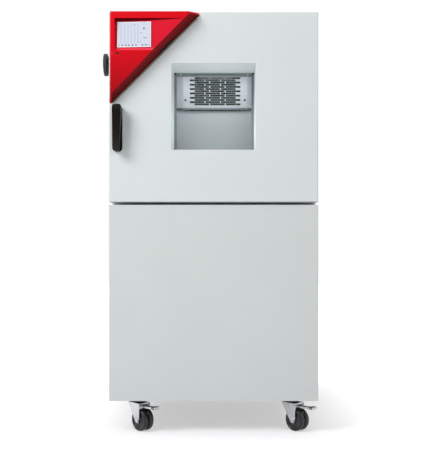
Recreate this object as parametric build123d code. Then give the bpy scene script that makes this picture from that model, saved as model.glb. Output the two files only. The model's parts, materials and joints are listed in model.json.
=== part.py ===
from build123d import *
import math
import os

# An environmental test chamber on castors. Millimetres, X right, Y back, Z up.
# The origin is on the floor, under the middle of the base box.

# Cabinet
width = 740
base_depth = 800
castor_height = 115
base_top = 808
total_height = 1490
sheet = 2
half_width = width / 2
front = -base_depth / 2
rear = base_depth / 2
inner_half = half_width - sheet
deck_height = base_top - sheet

# Door and the gap behind it
door_thickness = 90
door_gap = 6
door_bottom = base_top + 10
door_back = front + door_thickness
body_front = door_back + door_gap

# Chamber space
chamber_half = 201
chamber_low = 988
chamber_high = 1390
chamber_rear = 225
liner = 1.5
liner_corner = 8

# Door plug and window
plug_half = 190
plug_low = 992
plug_high = 1382
plug_taper = 5
plug_back = -215
window_half = 149
window_low = 1003
window_high = 1309
pane_front = -243
pane_thickness = 6
plug_sheet = 1.5

# Air duct behind the chamber
duct_front = 120
duct_low = 1237
duct_flat = 134
duct_fold = 1244
duct_side = 198
duct_top = chamber_high - 3
fan_height = 1310
slot_length = 60
slot_pitch = 65.3
slot_high = 5
slot_row_pitch = 9.13
slot_rows = 13
slot_shift = 10
slot_first_row = 1256

# Door hinge, on a hidden upright pin
hinge_x = 352
hinge_y = -345
hinge_heights = (900, 1400)
hinge_notch = 32
hinge_plate = (334, 366)
pin_radius = 5

# Access port in the left wall
port_y = -160
port_z = 1358
port_bore = 25
port_ring = 32
port_ring_end = -408.7
plug_head = 42

# Controller, a right triangle on the door
panel_left = -367.5
panel_top = 1484.5
panel_leg = 326
panel_proud = 38
band_width = 23.3
pocket_depth = 16
pocket_left = -345
pocket_top = 1457
pocket_right = -105
crease = 1346
tip_cut = 10.5
lens_inset = 4.5
lens_z = 1362.5
lens_length = 66
lens_width = 12
screen_x = (-336.5, -218)
screen_z = (1356.5, 1446)
socket_x = (-341, -330)
socket_z = (1331, 1338)

# Handle
handle_x = -339
handle_pivot_y = -424
handle_pivot_z = 1139
handle_low = 996
handle_top = 1160
handle_half = 17
lug_half = 5
lug_radius = 8

# Latch, from the door into its striker
latch_x = (-350, -334)
latch_z = (1060, 1100)
striker_x = (-362, -318)
striker_z = (1044, 1116)
striker_depth = 42

# Castors
kingpin_x = 278
kingpin_y = 325
wheel_radius = 40
wheel_half = 21
trail = 33
fork_half = 25.5
leg_thickness = 3
crown_low = 96
crown_high = 100
pedal_x = 38
pedal_z = 90
castors = {
    "front_left": (-1, -1, -47, True),
    "front_right": (1, -1, -47, True),
    "rear_left": (-1, 1, 155, False),
    "rear_right": (1, 1, 20, False),
}

# Coil behind the chamber's lower wall
wall_face = 150
coil_half = 158
coil_y = (162, 214)
coil_z = (1010, 1190)

# Openings in the base panels
louvre_columns = (60, 210)
louvre_width = 110
louvre_high = 9
louvre_pitch = 42
louvre_rows = 7
louvre_low = 240
outlet_pitch = 25
outlet_width = 12
outlet_high = 145
switch_at = (250, 700)
switch_half = 32
inlet_at = (250, 200)
inlet_half = 22

# Machinery in the base
floor_plate = 4
lip = 30
compressor_at = (150, 270)
compressor_radius = 80
compressor_low = 143
compressor_top = 330
receiver_at = (-100, 100)
receiver_top = 360
drier_z = (385, 475)
condenser_x = (-250, 50)
condenser_y = (250, 295)
condenser_z = (325, 675)
condenser_centre = (-100, 500)
shroud_back = 345
gas_line_height = 345
line_radius = 5
drain_at = (-180, 200)
drain_height = 200
drain_at_rear = (drain_at[0], drain_height)
liquid_line_y = 340
suction_height = 1050
liquid_height = 1130
passage_half = 8
drain_radius = 7

up = Align.MIN
middle = Align.CENTER


def block(x, y, z):
    """A box given by its two X, two Y and two Z limits."""
    centre = [(low + high) / 2 for low, high in (x, y, z)]
    size = [high - low for low, high in (x, y, z)]
    return Pos(*centre) * Box(*size)


def both(half):
    """The limits of something centred on zero."""
    return (-half, half)


def rod(start, end, radius):
    """A round bar from one point to another."""
    line = Vector(*end) - Vector(*start)
    bar = Cylinder(radius, line.length, align=(middle, middle, up))
    return Plane(origin=start, z_dir=line) * bar


def prism(axis, points, low, high):
    """A polygon drawn across one axis and extruded along it."""
    corner = {
        "X": lambda a, b: (low, a, b),
        "Y": lambda a, b: (a, low, b),
        "Z": lambda a, b: (a, b, low),
    }[axis]
    along = {"X": (1, 0, 0), "Y": (0, 1, 0), "Z": (0, 0, 1)}[axis]
    outline = Polyline(*[corner(a, b) for a, b in points], close=True)
    return extrude(make_face(outline), amount=high - low, dir=along)


def rounded(shape, axis, radius):
    """The shape with its edges along one axis rounded."""
    return fillet(shape.edges().filter_by(axis), radius)


def pipe(points, bend, radius):
    """A pipe of straight runs, with each bend cut into two mitred corners."""
    cut = bend * (2 - math.sqrt(2))
    route = [Vector(*points[0])]
    for before, corner, after in zip(points, points[1:], points[2:]):
        corner = Vector(*corner)
        for other in (before, after):
            route.append(corner + (Vector(*other) - corner).normalized() * cut)
    path = Polyline(*route, Vector(*points[-1]))
    section = Plane(origin=path @ 0, z_dir=path % 0) * Circle(radius)
    return sweep(section, path=path, transition=Transition.RIGHT)


def tray(x, y, low, high, wall):
    """A box wall round a rectangle, open at its top and bottom."""
    inside = block((x[0] + wall, x[1] - wall), (y[0] + wall, y[1] - wall), (low, high))
    return block(x, y, (low, high)) - inside


def passages():
    """The square ways for the two pipes and the drain, wider at their bends."""
    h = passage_half
    ways = []
    for (x, y), top in ((compressor_at, suction_height),
                        ((receiver_at[0], liquid_line_y), liquid_height)):
        side = (x - h, x + h)
        ways.append(block(side, (y - h, y + h), (deck_height - 40, top + h)))
        ways.append(block(side, (chamber_rear - 1, y + h), (top - h, top + h)))
        ways.append(block(side, (y - h - 24, y + h), (top - h - 24, top + h)))
    x, y = drain_at
    ways.append(block((x - h, x + h), (y - h, y + h), (deck_height - 40, chamber_low + 1)))
    return ways


def base_frame():
    """Folded floor tray and deck, joined by four corner angles."""
    floor = block(both(inner_half), both(rear - sheet),
                  (castor_height, castor_height + floor_plate))
    frame = floor + tray(both(inner_half), both(rear - sheet),
                         castor_height, castor_height + lip, 3)
    frame += block(both(inner_half), both(rear - sheet), (deck_height - 6, deck_height))
    frame += tray(both(inner_half), both(rear - sheet), deck_height - lip, deck_height, 3)
    for x in (-1, 1):
        for y in (-1, 1):
            corner = block((inner_half - lip, inner_half), (rear - sheet - lip, rear - sheet),
                           (castor_height, deck_height))
            corner -= block((inner_half - lip, inner_half - 3),
                            (rear - sheet - lip, rear - sheet - 3),
                            (castor_height, deck_height))
            corner = mirror(corner, Plane.YZ) if x < 0 else corner
            frame += mirror(corner, Plane.XZ) if y < 0 else corner
    return frame - passages()


def base_front_panel():
    """Plain front tray with a ledge along its top."""
    panel = rounded(block(both(half_width), (front, front + 20), (castor_height, base_top)),
                    Axis.Z, 3)
    panel -= block(both(inner_half), (front + sheet, front + 20), (castor_height, base_top))
    ledge = block(both(half_width), (front + sheet, body_front), (deck_height, base_top))
    return panel + ledge


def side_panel(side):
    """Side sheet with two columns of louvres pressed inwards."""
    panel = block((inner_half, half_width), (front + 20, rear - sheet),
                  (castor_height, deck_height))
    for y in louvre_columns:
        for row in range(louvre_rows):
            z = louvre_low + louvre_pitch * row
            top = z + louvre_high
            panel -= block((inner_half - 1, half_width + 1), (y, y + louvre_width), (z, top))
            hood = [(inner_half, top), (inner_half - 9, z - 3),
                    (inner_half - 10, z - 2), (inner_half, top + sheet)]
            panel += prism("Y", hood, y, y + louvre_width)
    if side > 0:
        y, z = switch_at
        panel -= block((inner_half - 1, half_width + 1), (y - 9, y + 9), (z - 9, z + 9))
    return panel if side > 0 else mirror(panel, Plane.YZ)


def base_rear_panel():
    """Rear sheet with outlet slots behind the condenser fan."""
    panel = block(both(half_width), (rear - sheet, rear), (castor_height, deck_height))
    through = (rear - 3, rear + 1)
    x0, x1 = condenser_x
    for row in range(2):
        z = condenser_z[0] + 20 + row * (outlet_high + 20)
        for column in range(int((x1 - x0) / outlet_pitch)):
            x = x0 + 6 + column * outlet_pitch
            panel -= block((x, x + outlet_width), through, (z, z + outlet_high))
    for (x, z), half in ((inlet_at, inlet_half), (drain_at_rear, drain_radius + 1)):
        panel -= block((x - half, x + half), through, (z - half, z + half))
    return panel


def upper_casing():
    """Outer sheet of the insulated box, open at the back."""
    outside = rounded(block(both(half_width), (body_front, rear - sheet),
                            (deck_height, total_height)), Axis.Y, 4)
    inside = block(both(inner_half), (body_front + sheet, rear),
                   (deck_height + sheet, total_height - sheet))
    mouth = block(both(chamber_half + liner), (body_front - 1, body_front + 3),
                  (chamber_low - liner, chamber_high + liner))
    pocket = latch_pocket((body_front - 1, body_front + 3))
    port = rod((-half_width - 1, port_y, port_z), (-inner_half + 1, port_y, port_z),
               port_bore + 2)
    return outside - inside - mouth - pocket - port - passages()


def latch_pocket(y):
    """The space in the box front that the latch enters."""
    return block(striker_x, y, striker_z)


def upper_rear_panel():
    """Rear sheet of the insulated box."""
    return block(both(half_width), (rear - sheet, rear), (deck_height, total_height))


def liner_space(grow):
    """The chamber space, grown by the liner's sheet or by nothing."""
    space = block(both(chamber_half + grow), (body_front, chamber_rear + grow),
                  (chamber_low - grow, chamber_high + grow))
    return rounded(space, Axis.Y, liner_corner + grow)


def cabinet_foam():
    """Foam between the casing and the liner."""
    foam = block(both(inner_half), (body_front + sheet, rear - sheet),
                 (deck_height + sheet, total_height - sheet))
    foam -= liner_space(liner)
    foam -= latch_pocket((body_front, body_front + striker_depth))
    foam -= rod((-half_width, port_y, port_z), (-chamber_half, port_y, port_z),
                port_bore + 2)
    for half, start in ((12, chamber_rear), (46, 298)):
        foam -= block(both(half), (start, rear), (fan_height - half, fan_height + half))
    return foam - passages()


def chamber_liner():
    """Stainless inner box, open at the front."""
    box = liner_space(liner) - liner_space(0)
    box -= rod((-chamber_half - 4, port_y, port_z), (-chamber_half + 4, port_y, port_z),
               port_bore + 2)
    box -= rod((0, chamber_rear - 1, fan_height), (0, chamber_rear + 4, fan_height), 12)
    return box - passages()


def mouth_frame():
    """Flat frame round the chamber mouth, which the door seal meets."""
    frame = rounded(block(both(240), (body_front - 2, body_front),
                          (chamber_low - 39, chamber_high + 39)), Axis.Y, 12)
    hole = rounded(block(both(chamber_half), (body_front - 2, body_front),
                         (chamber_low, chamber_high)), Axis.Y, liner_corner)
    return frame - hole


def duct_outline(grow):
    """Plan of the air duct cover, with its sides bent back."""
    side = duct_side - grow
    flat = duct_flat - 0.4 * grow
    face = duct_front + grow
    bend = duct_front + duct_side - duct_flat + 0.4 * grow
    return [(-side, chamber_rear), (-side, bend), (-flat, face),
            (flat, face), (side, bend), (side, chamber_rear)]


def fan_cover():
    """Slotted cover over the fan, with slots staggered like brickwork."""
    cover = prism("Z", duct_outline(0), duct_low, duct_top)
    cover -= prism("Z", duct_outline(liner), duct_low, duct_top)
    cover -= block(both(duct_flat), (duct_front - 1, duct_front + 3), (duct_low, duct_fold))
    fold = [(duct_front, duct_fold), (duct_front + liner, duct_fold),
            (duct_front + 6 + liner, duct_low), (duct_front + 6, duct_low)]
    cover += prism("X", fold, -duct_flat, duct_flat)
    slots = []
    for row in range(slot_rows):
        z = slot_first_row + row * slot_row_pitch
        shift = slot_shift if row % 2 == 0 else -slot_shift
        for column in (-1, 0, 1):
            x = shift + column * slot_pitch
            slots.append(block((x - slot_length / 2, x + slot_length / 2),
                               (duct_front - 1, duct_front + 3), (z, z + slot_high)))
    return cover - slots


def lower_wall_panel():
    """Plain wall below the fan cover, on side flanges."""
    z = (chamber_low + 3, duct_low - 1)
    panel = block(both(duct_side), (wall_face, chamber_rear), z)
    return panel - block(both(duct_side - liner), (wall_face + liner, chamber_rear), z)


def evaporator_coil():
    """Fin pack with a header pipe at each end, on two brackets."""
    low, high = coil_z
    coil = block(both(coil_half), coil_y, coil_z)
    for side in (-1, 1):
        x = side * (coil_half + 4)
        coil += rod((x, 188, low + 10), (x, 188, high - 10), 6)
        bracket = block((coil_half - 2, coil_half + 14), (coil_y[1] - 4, chamber_rear),
                        (high - 20, high))
        coil += bracket if side > 0 else mirror(bracket, Plane.YZ)
    return coil


def heater_coil():
    """A hairpin element on each side of the fan, held on the rear wall."""
    elements = []
    for side in (-1, 1):
        for x in (86, 104):
            elements.append(rod((side * x, 190, 1256), (side * x, 190, 1372), 3.5))
        middle_x = side * 95
        for z, back in ((1250, 194), (1372, chamber_rear)):
            elements.append(block((middle_x - 14, middle_x + 14), (186, back), (z, z + 6)))
    return Part() + elements


def fan_motor():
    """Motor in its pocket in the foam, with a shaft tube into the duct."""
    motor = rod((0, 300, fan_height), (0, 384, fan_height), 44)
    motor += rod((0, chamber_rear, fan_height), (0, 300, fan_height), 12)
    motor += block(both(8), (384, rear - sheet), (fan_height - 40, fan_height + 40))
    return motor - rod((0, chamber_rear - 1, fan_height), (0, 334, fan_height), 4.4)


def axial_fan(centre, hub, tip, chord, blades, shaft_end, pitch):
    """A fan on an axis along Y, with pitched blades and its shaft."""
    x, y, z = centre
    wheel = rod((0, -chord * 0.45, 0), (0, chord * 0.45, 0), hub)
    for number in range(blades):
        length = tip - hub + 2
        blade = Pos(hub - 2 + length / 2, 0, 0) * Rot(pitch, 0, 0) * Box(length, 1.5, chord)
        wheel += Rot(0, 360 / blades * number, 0) * blade
    wheel = Pos(x, y, z) * wheel
    return wheel + rod((x, y, z), (x, shaft_end, z), 4)


def temperature_probe():
    """Thin probe with a gland on the right wall."""
    probe = rod((chamber_half, 60, 1345), (chamber_half - 30, 60, 1345), 3)
    return probe + rod((chamber_half, 60, 1345), (chamber_half - 6, 60, 1345), 7)


def shelf_rails():
    """Two folded rails on the side walls."""
    rail = [(chamber_half, 1002), (chamber_half, 1017), (chamber_half - 1.5, 1017),
            (chamber_half - 1.5, 1003.5), (chamber_half - 14, 1003.5), (chamber_half - 14, 1002)]
    right = prism("Y", rail, -190, 100)
    return right + mirror(right, Plane.YZ)


def wire_shelf():
    """Welded shelf of thin bars on a round frame, resting on the two rails."""
    edge = chamber_half - 5
    side_x = edge - 6
    low, high = -180, 90
    z = 1006.5
    wires = [rod((-edge, y, z), (edge, y, z), 3) for y in (low, high)]
    wires += [rod((side * side_x, low, z), (side * side_x, high, z), 3) for side in (-1, 1)]
    wires += [block((x - 1.5, x + 1.5), (low, high), (z + 1.5, z + 4.5))
              for x in range(-150, 151, 50)]
    return Part() + wires


def port_tube():
    """Sleeve through the left wall, with a ring outside."""
    tube = rod((-half_width, port_y, port_z), (-chamber_half, port_y, port_z), port_bore + 2)
    tube += rod((port_ring_end, port_y, port_z), (-half_width, port_y, port_z), port_ring)
    return tube - rod((port_ring_end, port_y, port_z), (-chamber_half, port_y, port_z),
                      port_bore)


def port_plug():
    """Soft stopper with its head outside the ring."""
    face = port_ring_end - 0.3
    stem = rod((face, port_y, port_z), (-300, port_y, port_z), port_bore - 0.6)
    return stem + rod((face - 12, port_y, port_z), (face, port_y, port_z), plug_head)


def striker_plate():
    """Cup in the box front that takes the latch, with a flange round it."""
    (x0, x1), (z0, z1) = striker_x, striker_z
    back = body_front + striker_depth
    plate = block(striker_x, (body_front, back), striker_z)
    plate += block((x0 - 4, x1 + 4), (body_front - 2, body_front), (z0 - 4, z1 + 4))
    return plate - block((x0 + 2, x1 - 2), (body_front - 2, back - 2), (z0 + 2, z1 - 2))


def hinge_brackets():
    """Two brackets on the box front with a boss round each hinge pin."""
    brackets = []
    for z in hinge_heights:
        plate = block(hinge_plate, (body_front - 3, body_front), (z - 30, z + 30))
        arm = block((hinge_x - 10, hinge_x + 10), (hinge_y, body_front - 3), (z - 14, z + 14))
        boss = rod((hinge_x, hinge_y, z - 14), (hinge_x, hinge_y, z + 14), 11)
        bore = rod((hinge_x, hinge_y, z - 15), (hinge_x, hinge_y, z + 15), pin_radius + 0.3)
        brackets.append(plate + arm + boss - bore)
    return Part() + brackets


def hinge_pins():
    """The pins that turn in the brackets, held in the door."""
    pins = [rod((hinge_x, hinge_y, z - hinge_notch), (hinge_x, hinge_y, z + hinge_notch),
                pin_radius) for z in hinge_heights]
    return Part() + pins


def hinge_notches():
    """The room in the door for the brackets as it swings."""
    return [block((hinge_plate[0], half_width + 1), (hinge_y - 26, door_back + 1),
                  (z - hinge_notch, z + hinge_notch)) for z in hinge_heights]


def latch_room():
    """The room in the door for the latch bolt and its travel."""
    return block((latch_x[0] - 0.3, latch_x[1] + 12.5), (front + 15.7, door_back + 1),
                 (latch_z[0] - 0.3, latch_z[1] + 0.3))


def door_outer_shell():
    """Pressed front sheet with its sides and the window reveal."""
    outside = block(both(half_width), (front, door_back), (door_bottom, total_height))
    outside = fillet(outside.edges().filter_by(Axis.Y, reverse=True).group_by(Axis.Y)[0], 4)
    shell = outside - block(both(inner_half), (front + sheet, door_back),
                            (door_bottom + sheet, total_height - sheet))
    reveal = block(both(window_half + sheet), (front, plug_back - plug_sheet),
                   (window_low - sheet, window_high + sheet))
    opening = block(both(window_half), (front - 1, plug_back),
                    (window_low, window_high))
    return shell + reveal - opening - hinge_notches()


def plug_shape(grow):
    """The stepped back of the door, narrowing inwards."""
    faces = []
    for y, inset in ((door_back - sheet, 0), (plug_back + grow, plug_taper)):
        half = plug_half - inset + grow
        low, high = plug_low + inset - grow, plug_high - inset + grow
        outline = Polyline((-half, y, low), (half, y, low), (half, y, high),
                           (-half, y, high), close=True)
        faces.append(make_face(outline))
    return loft(faces)


def door_foam():
    """Foam of the door, round the window."""
    foam = block(both(inner_half), (front + sheet, door_back - sheet),
                 (door_bottom + sheet, total_height - sheet))
    foam += plug_shape(-plug_sheet)
    foam -= block(both(window_half + sheet), (front, plug_back),
                  (window_low - sheet, window_high + sheet))
    return foam - hinge_notches() - latch_room()


def door_inner_shell():
    """Stainless back of the door with its stepped plug."""
    shell = block(both(inner_half), (door_back - sheet, door_back),
                  (door_bottom + sheet, total_height - sheet))
    shell += plug_shape(0)
    shell -= plug_shape(-plug_sheet)
    shell -= block(both(window_half - 8), (plug_back - 5, plug_back + 1),
                   (window_low + 8, window_high - 8))
    return shell - hinge_notches() - latch_room()


def door_gasket():
    """Seal round the plug, just clear of the mouth frame."""
    y = (door_back, body_front - 2.3)
    ring = rounded(block(both(232), y, (plug_low - 39, plug_high + 39)), Axis.Y, 16)
    hole = rounded(block(both(208), y, (plug_low - 15, plug_high + 15)), Axis.Y, 8)
    return ring - hole


def window_panes():
    """Outer and inner pane of the window."""
    panes = []
    for y in (pane_front, plug_back - plug_sheet - pane_thickness):
        panes.append(block(both(window_half), (y, y + pane_thickness),
                           (window_low, window_high)))
    return Part() + panes


def window_seal():
    """Spacer between the panes and the seal in front of them."""
    rings = []
    spacer_end = plug_back - plug_sheet - pane_thickness
    for y, inset in (((pane_front - 3, pane_front), 4),
                     ((pane_front + pane_thickness, spacer_end), 9)):
        ring = block(both(window_half), y, (window_low, window_high))
        rings.append(ring - block(both(window_half - inset), y,
                                  (window_low + inset, window_high - inset)))
    return Part() + rings


def panel_triangle(left_inset, top_inset, band, y):
    """The controller's triangle at one depth, with its two sharp tips cut off."""
    leg = panel_leg - band * math.sqrt(2)
    left = panel_left + left_inset
    top = panel_top - top_inset
    tip_x = panel_left + leg - top_inset
    tip_z = panel_top - leg + left_inset
    down = tip_cut / math.sqrt(2)
    outline = Polyline((left, y, top), (tip_x - tip_cut, y, top), (tip_x - down, y, top - down),
                       (left + down, y, tip_z + down), (left, y, tip_z + tip_cut), close=True)
    return make_face(outline)


def floor_plane(raised):
    """The sloping floor of the screen pocket, deepest at the top left."""
    start = Vector(pocket_right, front - panel_proud, pocket_top)
    along = Vector(-1, 0, -1).normalized()
    deep = Vector(pocket_left, front - panel_proud + pocket_depth, pocket_top)
    normal = along.cross(deep - start).normalized()
    if normal.Y > 0:
        normal = normal * -1
    return Plane(origin=start + normal * raised, x_dir=along, z_dir=normal)


def controller_housing():
    """Moulded triangular housing with a sloping screen pocket."""
    face_y = front - panel_proud
    back = front - 2
    housing = loft([panel_triangle(0, 0, 0, back), panel_triangle(8, 3, band_width, face_y)])
    housing = fillet(housing.edges().group_by(Axis.Y)[0], 2.5)
    drop = pocket_top - crease
    pocket = prism("Y", [(pocket_left, pocket_top), (pocket_right, pocket_top),
                         (pocket_right - drop, crease), (pocket_left, crease)],
                   face_y - 1, face_y + pocket_depth + 1)
    housing -= split(pocket, bisect_by=floor_plane(0), keep=Keep.TOP)
    low_edge = panel_top - panel_leg
    lower_face = [(face_y, crease - 4), (face_y + 8, low_edge), (face_y - 5, low_edge),
                  (face_y - 5, crease - 4)]
    housing -= prism("X", lower_face, panel_left - 1, pocket_right)
    left, top, leg = panel_left + 12, panel_top - 12, panel_leg - 95
    housing -= prism("Y", [(left, top), (left + leg, top), (left, top - leg)], back - 14, back)
    housing -= block(socket_x, (face_y - 3, back), socket_z)
    return housing - indicator_lens()


def indicator_lens():
    """Long dark lens let into the slanted band."""
    slope = Vector(band_width / math.sqrt(2), 0, -band_width / math.sqrt(2))
    across = Vector(slope.X, panel_proud - 2, slope.Z).normalized()
    along = Vector(1, 0, 1).normalized()
    normal = across.cross(along)
    if normal.Y > 0:
        normal = normal * -1
    step = lens_inset / math.sqrt(2)
    outer_x = panel_left + panel_leg - (panel_top - lens_z)
    depth = lens_inset / band_width * (panel_proud - 2)
    centre = Vector(outer_x - step, front - 2 - depth, lens_z + step)
    outline = Plane(origin=centre, x_dir=along, z_dir=normal) * SlotOverall(lens_length,
                                                                          lens_width)
    return extrude(outline, amount=-2.5)


def controller_gasket():
    """Thin pale seal behind the housing."""
    face = panel_triangle(1, 1, -1.5, front)
    return extrude(face, amount=2, dir=(0, -1, 0))


def display_panel():
    """Screen module lying on the pocket's sloping floor."""
    front_y = front - panel_proud
    module = block(screen_x, (front_y - 4, front_y + pocket_depth + 1), screen_z)
    module = split(module, bisect_by=floor_plane(0), keep=Keep.TOP)
    return split(module, bisect_by=floor_plane(3), keep=Keep.BOTTOM)


def controller_board():
    """Circuit board in the housing's back, with the data socket it carries."""
    left, top, leg = panel_left + 14, panel_top - 14, panel_leg - 107
    board = prism("Y", [(left, top), (left + leg, top), (left, top - leg)],
                  front - 8, front - 6)
    mouth = front - panel_proud + 1
    (x0, x1), (z0, z1) = socket_x, socket_z
    board += block(socket_x, (mouth, front - 8), socket_z)
    return board - block((x0 + 1.5, x1 - 1.5), (mouth, mouth + 7), (z0 + 1.5, z1 - 1.5))


def handle_base():
    """Back plate of the handle with its pivot lug."""
    plate = rounded(block((handle_x - handle_half, handle_x + handle_half), (front - 8, front),
                          (handle_low, handle_top - 2)), Axis.Y, 12)
    y, z = handle_pivot_y, handle_pivot_z
    x0, x1 = handle_x - lug_half, handle_x + lug_half
    lug = block((x0, x1), (y, front - 7), (z - lug_radius, z + lug_radius))
    lug += rod((x0, y, z), (x1, y, z), lug_radius)
    return plate + lug - rod((x0 - 1, y, z), (x1 + 1, y, z), 3.3)


def handle_lever():
    """Pull lever, thick at its pivot and slim where fingers go behind it."""
    x, y, z = handle_x, handle_pivot_y, handle_pivot_z
    side = [(y + 14.5, z - 14), (y + 14.5, z + 2), (y + 11, z + 11), (y + 3, z + 20),
            (y - 5, z + 22), (y - 13, z + 19), (y - 18, z + 8), (y - 18, z - 14),
            (y - 16, z - 60), (y - 14, handle_low + 12), (y - 10, handle_low),
            (y - 3, handle_low), (y, handle_low + 7), (y, z - 38)]
    lever = prism("X", side, x - handle_half, x + handle_half)
    view = Polyline((x - 15, handle_top), (x + 16, handle_top), (x + 16, z - 12),
                    (x + 10, handle_low - 2), (x - 14, handle_low - 2), close=True)
    outline = make_face(fillet(view.vertices(), 10))
    blank = extrude(Plane.XZ * outline, amount=60, both=True)
    lever = lever & (Pos(0, y, 0) * blank)
    lever -= block((x - lug_half - 2, x + lug_half + 2), (y - 9, y + 20), (z - 9.5, z + 17.5))
    return lever + rod((x - 11, y, z), (x + 11, y, z), 3)


def latch_bolt():
    """Bolt that reaches from the door into the striker."""
    step = door_back - 6
    tip = step + 40
    (x0, x1), (z0, z1) = latch_x, latch_z
    bolt = block(latch_x, (front + 16, step), latch_z)
    bolt += block((x0 + 3, x1 - 3), (step, tip), (z0 + 8, z1 - 8))
    nose = [(x0 + 3, tip), (x0 - 2, tip - 6), (x0 - 2, tip - 14), (x0 + 3, tip - 18)]
    return bolt + prism("Z", nose, z0 + 8, z1 - 8)


def compressor():
    """Hermetic compressor, a shell with a stepped lid, on four square rubber feet."""
    x, y = compressor_at
    low, high = compressor_low, compressor_top
    plate = block((x - 95, x + 95), (y - 80, y + 80), (low - 4, low))
    shell = rod((x, y, low), (x, y, high - 36), compressor_radius)
    shell += rod((x, y, high - 36), (x, y, high), compressor_radius - 14)
    feet = [block((x + 80 * a - 12, x + 80 * a + 12), (y + 65 * b - 12, y + 65 * b + 12),
                  (castor_height + floor_plate, low - 4)) for a in (-1, 1) for b in (-1, 1)]
    return plate + shell + feet


def condenser_coil():
    """Condenser fin pack on its stand."""
    coil = block(condenser_x, condenser_y, condenser_z)
    for x in condenser_x:
        low = x if x < 0 else x - 20
        coil += block((low, low + 20), (condenser_y[0] + 5, condenser_y[1] - 5),
                      (castor_height + floor_plate, condenser_z[0]))
    return coil


def fan_shroud():
    """Box behind the condenser with a round fan mouth, and the motor on its arms."""
    (x0, x1), (z0, z1) = condenser_x, condenser_z
    cx, cz = condenser_centre
    face = shroud_back - sheet
    shroud = block(condenser_x, (condenser_y[1], shroud_back), condenser_z)
    shroud -= block((x0 + sheet, x1 - sheet), (condenser_y[1], face), (z0 + sheet, z1 - sheet))
    shroud -= rod((cx, face - 1, cz), (cx, shroud_back + 1, cz), 133)
    for angle in (0, 90):
        shroud += Pos(cx, shroud_back + 2.5, cz) * Rot(0, angle, 0) * Box(300, 5, 14)
    shroud += rod((cx, shroud_back + 5, cz), (cx, shroud_back + 43, cz), 34)
    return shroud - rod((cx, shroud_back - 1, cz), (cx, shroud_back + 21, cz), 4.4)


def receiver_and_drier():
    """Upright refrigerant vessel, and the drier in the line above it."""
    x, y = receiver_at
    vessel = rod((x, y, castor_height + floor_plate), (x, y, receiver_top), 40)
    return Part() + [vessel, rod((x, y, drier_z[0]), (x, y, drier_z[1]), 18)]


def refrigerant_pipes():
    """Copper pipes between the compressor, condenser, receiver and coil."""
    cx, cy = compressor_at
    rx, ry = receiver_at
    coil_back = coil_y[1]
    suction = pipe([(cx, cy, compressor_top), (cx, cy, suction_height),
                    (cx, coil_back, suction_height)], 24, line_radius + 1)
    liquid = pipe([(rx, ry, drier_z[1]), (rx, ry, 740), (rx, liquid_line_y, 740),
                   (rx, liquid_line_y, liquid_height), (rx, coil_back, liquid_height)],
                  30, line_radius)
    short = rod((rx, ry, receiver_top), (rx, ry, drier_z[0]), line_radius)
    z = gas_line_height
    from_condenser = rod((rx, ry + 39.9, z), (rx, condenser_y[0], z), line_radius)
    turn = cx - 22
    discharge = rod((condenser_x[1], cy, z), (turn, cy, z), line_radius)
    discharge += rod((turn, cy, compressor_top), (turn, cy, z + line_radius), line_radius)
    return Part() + [suction, liquid, short, from_condenser, discharge]


def electrical_box():
    """Wiring box hung under the deck."""
    box = block((40, 330), (-340, -120), (560, deck_height - 6))
    lid = rounded(block((46, 324), (-346, -340), (566, 760)), Axis.Y, 6)
    return box + lid


def power_inlet():
    """Recessed mains inlet in the rear panel."""
    x, z = inlet_at
    half = inlet_half
    inlet = block((x - half, x + half), (rear - 28, rear), (z - half, z + half))
    inlet += block((x - half - 6, x + half + 6), (rear, rear + 3), (z - half - 6, z + half + 6))
    inlet -= block((x - 16, x + 16), (rear - 18, rear + 3), (z - 12, z + 12))
    for pin in (-9, 9):
        inlet += block((x + pin - 2, x + pin + 2), (rear - 18, rear - 2), (z - 1, z + 1))
    return inlet


def drain_pipe():
    """Condensate drain from the chamber floor to a spigot at the back."""
    x, y = drain_at
    end = rear + 25
    tube = pipe([(x, y, chamber_low), (x, y, drain_height), (x, end, drain_height)],
                40, drain_radius)
    tube += rod((x, rear, drain_height), (x, rear + 3, drain_height), 2 * drain_radius)
    return tube - rod((x, rear, drain_height), (x, end, drain_height), drain_radius - 2.5)


def switch_plate():
    """Square plate behind the main switch."""
    y, z = switch_at
    half = switch_half
    plate = block((half_width, half_width + 3), (y - half, y + half), (z - half, z + half))
    plate = chamfer(plate.edges().filter_by(Axis.X), 5)
    return plate - rod((half_width, y, z), (half_width + 3, y, z), 9)


def switch_knob():
    """Rotary knob of the main switch, with its shaft."""
    y, z = switch_at
    face = half_width + 3.4
    knob = rod((face, y, z), (face + 9, y, z), 23)
    grip = block((face + 9, face + 22), (y - 7, y + 7), (z - 22, z + 22))
    knob += chamfer(grip.edges().filter_by(Axis.X), 4)
    return knob + rod((half_width - 20, y, z), (face, y, z), 8)


def castor_places():
    """Name, place and heading of each castor."""
    for name, (x, y, heading, braked) in castors.items():
        yield name, Pos(x * kingpin_x, y * kingpin_y, 0) * Rot(0, 0, heading), braked


def castor_plates():
    """Top plate, raceway, kingpin and nut of each castor."""
    plate = block(both(47.5), both(42.5), (castor_height - 4, castor_height))
    plate = chamfer(plate.edges().filter_by(Axis.Z), 8)
    plate += rod((0, 0, crown_high + 0.5), (0, 0, castor_height - 4), 24)
    plate += rod((0, 0, crown_low - 0.5), (0, 0, crown_high + 1), 6)
    plate += Pos(0, 0, crown_low - 6.5) * extrude(RegularPolygon(11, 6), amount=6)
    places = [(x * kingpin_x, y * kingpin_y) for x in (-1, 1) for y in (-1, 1)]
    return Part() + [Pos(x, y, 0) * plate for x, y in places]


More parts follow.
